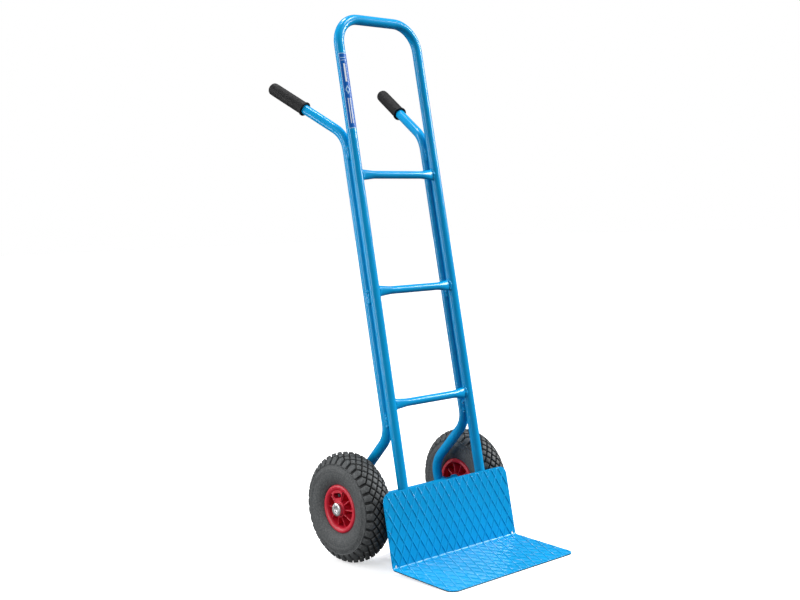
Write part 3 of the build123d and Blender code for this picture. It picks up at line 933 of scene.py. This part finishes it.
def tube_tacks():
    """Short beads on both sides of the crevice between each leg and the tube behind it."""
    rng = random.Random(11)
    bm = bmesh.new()
    for side in (-1, 1):
        for along in TACK_ALONG:
            for offset in (-TACK_OFFSET, TACK_OFFSET):
                middle = frame_point(side * LEG_X + offset, along, HOOP_R + TUBE_GAP / 2)
                path = straight_path(middle, UP, TACK_LENGTH)
                path = [point + RIGHT * rng.uniform(-0.4, 0.4) * MM for point in path]
                sweep_bead(bm, path, TACK_R, TACK_RIPPLE, rng)
    finish_beads(bm, "tube")


def rung_beads():
    """A bead right round each end of each rung."""
    rng = random.Random(12)
    bm = bmesh.new()
    steps = 56
    for along in RUNG_ALONG:
        for side in (-1, 1):
            path = []
            for k in range(steps):
                angle = math.tau * k / steps
                above = RUNG_BEAD_HALF_HEIGHT * math.cos(angle)
                behind = RUNG_BEAD_HALF_DEPTH * math.sin(angle)
                start = frame_point(side * LEG_X, along + above, behind)
                path.append(leg_surface(side, start, RIGHT * -side))
            sweep_bead(bm, path, RUNG_BEAD_R, RUNG_RIPPLE, rng, closed=True)
    finish_beads(bm, "rung")


def plate_beads():
    """Beads that hold each leg to the back of the plate."""
    rng = random.Random(13)
    bm = bmesh.new()
    for side in (-1, 1):
        for along in PLATE_BEAD_ALONG:
            for offset in (-TACK_OFFSET, TACK_OFFSET):
                middle = frame_point(side * LEG_X + offset, along, -HOOP_R + BEAD_LIFT)
                path = straight_path(middle, UP, TACK_LENGTH)
                sweep_bead(bm, path, PLATE_BEAD_R, EVEN_RIPPLE, rng)
    finish_beads(bm, "plate")


def axle_beads():
    """Beads above and below, where the axle tube meets each rear tube."""
    rng = random.Random(14)
    bm = bmesh.new()
    for side in (-1, 1):
        for angle in (-AXLE_BEAD_ANGLE, AXLE_BEAD_ANGLE):
            radius = AXLE_TUBE_R + BEAD_LIFT
            offset = Vector((side * LEG_X, radius * math.cos(angle), radius * math.sin(angle)))
            path = straight_path(AXLE_MIDDLE + offset, RIGHT, AXLE_BEAD_LENGTH)
            sweep_bead(bm, path, AXLE_BEAD_R, EVEN_RIPPLE, rng)
    finish_beads(bm, "axle")


def tail_beads():
    """A bead round the foot of each rear tube, where it meets its leg."""
    rng = random.Random(15)
    bm = bmesh.new()
    steps = 60
    beside = TAIL_DIRECTION.cross(RIGHT)
    for side in (-1, 1):
        foot = frame_point(side * LEG_X, TAIL_FOOT)
        path = []
        for k in range(steps):
            angle = math.tau * k / steps
            spoke = RIGHT * math.cos(angle) + beside * math.sin(angle)
            start = foot + spoke * (REAR_R - 0.3 * MM)
            path.append(leg_surface(side, start, TAIL_DIRECTION))
        sweep_bead(bm, path, TAIL_BEAD_R, TAIL_RIPPLE, rng, closed=True)
    finish_beads(bm, "tail")


# Wheels, made about the X axis with the outer face towards +X, then moved into place


class TyreShape:
    """A tyre's outline: s is the distance over it from the middle of the tread."""

    def __init__(self, half_width, outer_r, low_r):
        height = outer_r - TYRE_MID_R
        limit = math.pi - math.acos(((TYRE_MID_R - low_r) / height) ** (TYRE_POWER / 2))
        angle = np.linspace(-limit, limit, 2001)
        power = 2 / TYRE_POWER
        self.x = half_width * np.sign(angle) * np.abs(np.sin(angle)) ** power
        self.r = TYRE_MID_R + height * np.sign(np.cos(angle)) * np.abs(np.cos(angle)) ** power
        steps = np.hypot(np.diff(self.x), np.diff(self.r))
        self.s = np.concatenate(([0.0], np.cumsum(steps)))
        self.s -= self.s[-1] / 2
        self.end = self.s[-1]
        self.outer_r = outer_r

    def point(self, s, sink=0.0):
        """(x, radius) at s, that far below the outline."""
        x, r = np.interp(s, self.s, self.x), np.interp(s, self.s, self.r)
        reach = 0.5 * MM
        dx = np.interp(s + reach, self.s, self.x) - np.interp(s - reach, self.s, self.x)
        dr = np.interp(s + reach, self.s, self.r) - np.interp(s - reach, self.s, self.r)
        length = math.hypot(dx, dr)
        return x + dr / length * sink, r - dx / length * sink

    def around(self, s, along, sink):
        """The same, as a point that lies that far round the tyre."""
        x, r = self.point(s, sink)
        angle = along / self.outer_r
        return Vector((x, r * math.cos(angle), r * math.sin(angle)))


def carcass_sink(s):
    """How far the tyre lies below its outline: deep under the tread, proud at the side rings."""
    s = abs(s)
    rings = 0.0
    for middle, height in SIDE_RINGS:
        rings += height * math.exp(-(((s - middle) / RING_HALF_W) ** 2))
    slope = min(max((SHOULDER_TO + 1 * MM - s) / (12 * MM), 0.0), 1.0)
    return GROOVE_DEPTH * slope + SIDEWALL_SINK - rings


def tyre_outline(shape, cavity):
    """The closed outline of the tyre's section, for the lathe."""
    count = 240
    outside = [shape.point(s, carcass_sink(s)) for s in np.linspace(-shape.end, shape.end, count)]
    inside = [cavity.point(s) for s in np.linspace(-cavity.end, cavity.end, 31)]
    seat = [(BEAD_HEEL_X, TYRE_LOW_R), (BEAD_HEEL_X, BEAD_R), (BEAD_TOE_X, BEAD_R)]
    other_seat = [(-x, r) for x, r in reversed(seat)]
    return outside + seat + inside[::-1] + other_seat


def add_block(bm, shape, outline, along, depth=GROOVE_DEPTH + SIDEWALL_SINK, top=0.0):
    """A raised block with softened top edges, from its outline as (s, distance round) pairs."""
    middle_s = sum(s for s, _ in outline) / len(outline)
    middle_c = sum(c for _, c in outline) / len(outline)
    levels = [(1.06, depth), (1.0, top + 0.55 * MM), (0.96, top + 0.15 * MM), (0.9, top)]
    rings = []
    for scale, sink in levels:
        ring = []
        for s, c in outline:
            place_s = middle_s + (s - middle_s) * scale
            place_c = middle_c + (c - middle_c) * scale
            ring.append(bm.verts.new(shape.around(place_s, along + place_c, sink)))
        rings.append(ring)
    bridge_rings(bm, rings)
    cap_ring(bm, rings[-1], shape.around(middle_s, along + middle_c, top))
    bm.faces.new(rings[0])


def split_edges(outline, parts=2):
    """The outline with each edge divided, so that a block can follow the tyre's curve."""
    finer = []
    for i, (s, c) in enumerate(outline):
        next_s, next_c = outline[(i + 1) % len(outline)]
        finer += [(s + (next_s - s) * k / parts, c + (next_c - c) * k / parts) for k in range(parts)]
    return finer


def add_tread(bm, shape):
    """Rows of diamond blocks, with a longer lug at each shoulder."""
    pitch = math.tau * shape.outer_r / TREAD_PITCHES
    clear = math.hypot(TREAD_ROW, pitch / 2) * GROOVE / (TREAD_ROW * pitch)
    tall, wide = TREAD_ROW * (1 - clear), pitch / 2 * (1 - clear)
    flare = pitch / 2 * LUG_FLARE
    diamond = split_edges([(tall, 0), (0, wide), (-tall, 0), (0, -wide)])
    for k in range(TREAD_PITCHES):
        for row in range(-1, TREAD_ROWS + 1):
            middle = (row - (TREAD_ROWS - 1) / 2) * TREAD_ROW
            along = pitch * (k + 0.5 * (row % 2))
            if 0 <= row < TREAD_ROWS:
                add_block(bm, shape, [(middle + s, c) for s, c in diamond], along)
                continue
            out = math.copysign(1, middle)
            end = SHOULDER_TO * out
            lug = [(middle - tall * out, 0), (middle, wide), (end, flare), (end, -flare), (middle, -wide)]
            add_block(bm, shape, split_edges(lug, 3), along)


def add_side_marks(bm, shape):
    """Four groups of small plain pads on each sidewall, as moulds leave."""
    tall, wide = 1.6 * MM, 2.2 * MM
    pad = split_edges([(tall, wide), (tall, -wide), (-tall, -wide), (-tall, wide)])
    for group in range(4):
        for k in range(5):
            along = shape.outer_r * (math.tau * group / 4 + 0.4 + 0.075 * k)
            for middle in (-PAD_RING, PAD_RING):
                outline = [(middle + s, c) for s, c in pad]
                add_block(bm, shape, outline, along, SIDEWALL_SINK + 0.3 * MM, 0.7 * MM)


def wheel_piece(name, bm, side, centre, materials, slot, node):
    """Moves a wheel part from the wheel's own place to the truck."""
    bm.transform(Matrix.Translation(centre) @ Matrix.Diagonal((side, 1, 1, 1)))
    piece = finish_mesh(name, bm, materials)
    body = ("right" if side > 0 else "left") + "_wheel"
    place(piece, body, slot, node)


def tyre(side, word, centre):
    """A hollow tyre with its blocks, lugs and side marks. Between the blocks its rubber is darker, as
    painted shade in the grooves.
    """
    low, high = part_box(word + "_tyre")
    half_width, outer_r = (high.x - low.x) / 2, (high.z - low.z) / 2
    shape = TyreShape(half_width, outer_r, TYRE_LOW_R)
    cavity = TyreShape(half_width - SIDEWALL_T, outer_r - TREAD_T, CAVITY_LOW_R)
    bm = bmesh.new()
    lathe(bm, tyre_outline(shape, cavity), Vector(), RIGHT, TREAD_PITCHES * 5)
    _, shoulder_r = shape.point(SHOULDER_TO - 1 * MM, GROOVE_DEPTH)
    # Faces of the carcass inside the shoulders, between the blocks, get the painted groove shade
    for face in bm.faces:
        middle = face.calc_center_median()
        face.material_index = 1 if math.hypot(middle.y, middle.z) > shoulder_r else 0
    add_tread(bm, shape)
    add_side_marks(bm, shape)
    wheel_piece(word + "_tyre_tread", bm, side, centre, [TYRE, GROOVE_SHADE], "tyre_rubber", word + "_tyre")


def add_rib(bm, angle, barrel_r):
    """A thin rib from the hub out to the rim, sloping down towards the rim."""
    low_r, high_r = HUB_R - 1 * MM, barrel_r + 1 * MM
    turn = Matrix.Rotation(angle, 3, "X")
    rings = []
    for r, top in ((low_r, RIB_HUB_X), (high_r, RIB_RIM_X)):
        ring = []
        for across, x in rib_section(top):
            ring.append(bm.verts.new(turn @ Vector((x, r, across))))
        rings.append(ring)
    bridge_rings(bm, rings)
    bm.faces.new(rings[0][::-1])
    bm.faces.new(rings[1])


def rib_section(top):
    """Half-round-topped section of a rib, as (across, x) pairs."""
    half = RIB_T / 2
    crown = []
    for k in range(9):
        angle = math.pi * k / 8
        crown.append((half * math.cos(angle), top - half + half * math.sin(angle)))
    return [(half, WEB_T / 2)] + crown + [(-half, WEB_T / 2)]


def add_valve_panel(bm):
    """The raised panel that stands in place of one rib, with a long slot for the valve."""
    steps = 96
    low_r, high_r = HUB_R - 1 * MM, BARREL_R + 1 * MM
    ring_outer, ring_slot = [], []
    for k in range(steps):
        turn = math.tau * k / steps
        ring_outer.append(sector_point(turn, BAY_HALF_ANGLE, low_r, high_r))
        straight = SLOT_HALF_LENGTH - SLOT_HALF_WIDTH
        shift = straight if math.cos(turn) > 0 else -straight
        slot_x = shift + SLOT_HALF_WIDTH * math.cos(turn)
        ring_slot.append((slot_x, VALVE_R + SLOT_HALF_WIDTH * math.sin(turn)))
    levels = [
        (ring_outer, BAY_X - BAY_T, 0.0),
        (ring_outer, BAY_X - 0.6 * MM, 0.0),
        (ring_outer, BAY_X, 0.6 * MM),
        (ring_slot, BAY_X, -0.8 * MM),
        (ring_slot, BAY_X - 0.8 * MM, 0.0),
        (ring_slot, BAY_X - BAY_T, 0.0),
    ]
    middle = Vector((0, VALVE_R))
    turn = Matrix.Rotation(BAY_ANGLE - math.pi / 2, 3, "X")
    rings = []
    for outline, x, inset in levels:
        ring = []
        for y, z in outline:
            offset = Vector((y, z)) - middle
            offset -= offset.normalized() * inset
            ring.append(bm.verts.new(turn @ Vector((x, middle.x + offset.x, middle.y + offset.y))))
        rings.append(ring)
    bridge_rings(bm, rings, closed=True)


def sector_point(turn, half, low_r, high_r):
    """Where a ray from the middle of the valve's bay meets the bay's outline."""
    direction = Vector((math.cos(turn), math.sin(turn)))
    reaches = []
    for sign in (-1, 1):
        wall = Vector((math.cos(half) * sign, -math.sin(half)))
        facing = direction.dot(wall)
        if facing > 1e-6:
            reaches.append(VALVE_R * math.sin(half) / facing)
    for radius in (low_r, high_r):
        b = VALVE_R * direction.y
        root = b * b - VALVE_R * VALVE_R + radius * radius
        if root >= 0:
            ends = [-b - math.sqrt(root), -b + math.sqrt(root)]
            reaches += [t for t in ends if t > 0][:1]
    reach = min(reaches)
    return direction.x * reach, VALVE_R + direction.y * reach


def rim_half(side, word, centre, outer):
    """Half of a wheel's rim: barrel, lip, web and hub in one lathe outline, then the ribs."""
    barrel_r = BARREL_R if outer else INNER_BARREL_R
    lip = OUTER_LIP_R if outer else INNER_LIP_R
    outline = round_corners(
        [
            (0, HUB_BORE_R, 0),
            (HUB_HALF - BEARING_LENGTH, HUB_BORE_R, 0),
            (HUB_HALF - BEARING_LENGTH, BEARING_R, 0),
            (HUB_HALF, BEARING_R, 0.4 * MM),
            (HUB_HALF, HUB_R, 1.2 * MM),
            (WEB_T, HUB_R, 2 * MM),
            (WEB_T, barrel_r, 3 * MM),
            (RIM_HALF_W, barrel_r, lip),
            (RIM_HALF_W, FLANGE_R, 5 * MM),
            (BEAD_HEEL_X, FLANGE_R, 0),
            (BEAD_HEEL_X, BEAD_R, 0.6 * MM),
            (0, BEAD_R, 0),
        ]
    )
    bm = bmesh.new()
    lathe(bm, outline, Vector(), RIGHT, 120)
    for k in range(SPOKES):
        angle = math.tau * k / SPOKES
        if not outer or abs(angle - BAY_ANGLE) > BAY_HALF_ANGLE - 0.02:
            add_rib(bm, angle, barrel_r)
    if outer:
        add_valve_panel(bm)
    else:
        bm.transform(Matrix.Diagonal((-1, 1, 1, 1)))
    end = "outer" if outer else "inner"
    name = f"{word}_{end}_rim"
    wheel_piece(name, bm, side, centre, [RED], "red_plastic", f"{word}_{end}_rim_half")


def hub_cap(side, word, centre):
    """A pressed steel cap with rounded edges and a dimple in its middle."""
    low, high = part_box(word + "_hub_cap")
    start = min(abs(low.x), abs(high.x)) - abs(centre.x)
    end = start + high.x - low.x
    radius = (high.z - low.z) / 2
    axis_r = 0.02 * MM
    outline = round_corners(
        [
            (start, CAP_BORE_R, 0),
            (start, radius, 0.4 * MM),
            (end, radius, CAP_EDGE_R),
            (end, DIMPLE_MOUTH_R, 0.9 * MM),
            (end - DIMPLE_DEPTH, DIMPLE_R, 0.8 * MM),
            (end - DIMPLE_DEPTH, axis_r, 0),
            (end - CAP_HOLLOW_DEPTH, axis_r, 0),
            (end - CAP_HOLLOW_DEPTH, CAP_BORE_R, 0),
        ]
    )
    bm = bmesh.new()
    lathe(bm, outline, Vector(), RIGHT, 72)
    bm.transform(Matrix.Translation(centre) @ Matrix.Diagonal((side, 1, 1, 1)))
    cap = finish_mesh(word + "_hub_cap_shell", bm, [ZINC])
    place(cap, "frame", "zinc_steel", word + "_hub_cap")


def wheel(side):
    """All detailed pieces at one end of the axle."""
    word = "right" if side > 0 else "left"
    low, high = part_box(word + "_tyre")
    centre = (low + high) / 2
    tyre(side, word, centre)
    rim_half(side, word, centre, outer=True)
    rim_half(side, word, centre, outer=False)
    hub_cap(side, word, centre)


def main():
    """Builds the truck's detailed pieces, then what stands and shines round it."""
    paint_cad_nodes()
    toe_plate()
    for side in (-1, 1):
        grip(side)
    leg_label()
    tube_tacks()
    rung_beads()
    plate_beads()
    axle_beads()
    tail_beads()
    for side in (-1, 1):
        wheel(side)
    stage()
    studio_world()
    lights()
    camera()


# Surroundings


def stage():
    """A plain pale floor, far wider than the view. It throws no light back up at the truck."""
    half = FLOOR_HALF
    mesh = bpy.data.meshes.new("floor")
    corners = [(-half, -half, 0), (half, -half, 0), (half, half, 0), (-half, half, 0)]
    mesh.from_pydata(corners, [], [(0, 1, 2, 3)])
    floor = bpy.data.objects.new("floor", mesh)
    floor.data.materials.append(floor_paper())
    floor.visible_diffuse = False
    floor.visible_glossy = False
    bpy.context.scene.collection.objects.link(floor)
    floor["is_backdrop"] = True


def studio_world():
    """A dim room for what is lit by it, with a white backdrop behind the truck on every side."""
    world = bpy.data.worlds.new("studio")
    bpy.context.scene.world = world
    world.use_nodes = True
    nodes, links = world.node_tree.nodes, world.node_tree.links
    room = nodes["Background"]
    room.inputs["Color"].default_value = (1, 1, 1, 1)
    direction = nodes.new("ShaderNodeTexCoord")
    split = nodes.new("ShaderNodeSeparateXYZ")
    height = nodes.new("ShaderNodeMapRange")
    height.inputs["From Min"].default_value = ROOM_LOW_AT
    height.inputs["From Max"].default_value = ROOM_HIGH_AT
    height.inputs["To Min"].default_value = ROOM_LOW
    height.inputs["To Max"].default_value = ROOM_HIGH
    links.new(direction.outputs["Generated"], split.inputs["Vector"])
    links.new(split.outputs["Z"], height.inputs["Value"])
    links.new(height.outputs["Result"], room.inputs["Strength"])
    backdrop = nodes.new("ShaderNodeBackground")
    backdrop.inputs["Color"].default_value = (1, 1, 1, 1)
    rays = nodes.new("ShaderNodeLightPath")
    mix = nodes.new("ShaderNodeMixShader")
    links.new(rays.outputs["Is Camera Ray"], mix.inputs["Fac"])
    links.new(room.outputs["Background"], mix.inputs[1])
    links.new(backdrop.outputs["Background"], mix.inputs[2])
    links.new(mix.outputs["Shader"], nodes["World Output"].inputs["Surface"])


def aim(lamp, where, target):
    """Puts a lamp somewhere and turns it to shine at the target."""
    lamp.location = where
    lamp.rotation_euler = (Vector(target) - lamp.location).to_track_quat("-Z", "Y").to_euler()
    bpy.context.scene.collection.objects.link(lamp)


def lights():
    """A broad key from above and a little right of the front, and four soft boxes."""
    key = bpy.data.lights.new("key_light", "SUN")
    key.energy = KEY_STRENGTH
    key.angle = KEY_ANGLE
    aim(bpy.data.objects.new("key_light", key), KEY_FROM, KEY_AT)
    for name, where, watts, size in SOFT_BOXES:
        data = bpy.data.lights.new(name, "AREA")
        data.energy = watts
        data.shape = "RECTANGLE"
        data.size, data.size_y = size
        lamp = bpy.data.objects.new(name, data)
        lamp.visible_camera = False
        aim(lamp, where, BOXES_AT)


def camera():
    """The camera at the front left, about 80 cm up and nearly level."""
    level_reach = math.cos(CAMERA_PITCH)
    ahead = (math.sin(CAMERA_YAW) * level_reach, math.cos(CAMERA_YAW) * level_reach)
    forward = Vector((*ahead, math.sin(CAMERA_PITCH)))
    level = Vector((math.cos(CAMERA_YAW), -math.sin(CAMERA_YAW), 0))
    over = level.cross(forward)
    across = level * math.cos(CAMERA_ROLL) + over * math.sin(CAMERA_ROLL)
    above = over * math.cos(CAMERA_ROLL) - level * math.sin(CAMERA_ROLL)
    data = bpy.data.cameras.new("camera")
    data.sensor_width = CAMERA_SENSOR
    data.lens = CAMERA_LENS
    data.shift_x, data.shift_y = CAMERA_SHIFT
    eye = bpy.data.objects.new("camera", data)
    turn = Matrix((across, above, -forward)).transposed().to_4x4()
    eye.matrix_world = Matrix.Translation(CAMERA_PLACE) @ turn
    bpy.context.scene.collection.objects.link(eye)
    bpy.context.scene.camera = eye
    bpy.context.scene.view_settings.view_transform = "Standard"


main()
sizes = {"cad": CAD_BOX, "visual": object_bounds()}
{name: [list(corner) for corner in box] for name, box in sizes.items()}
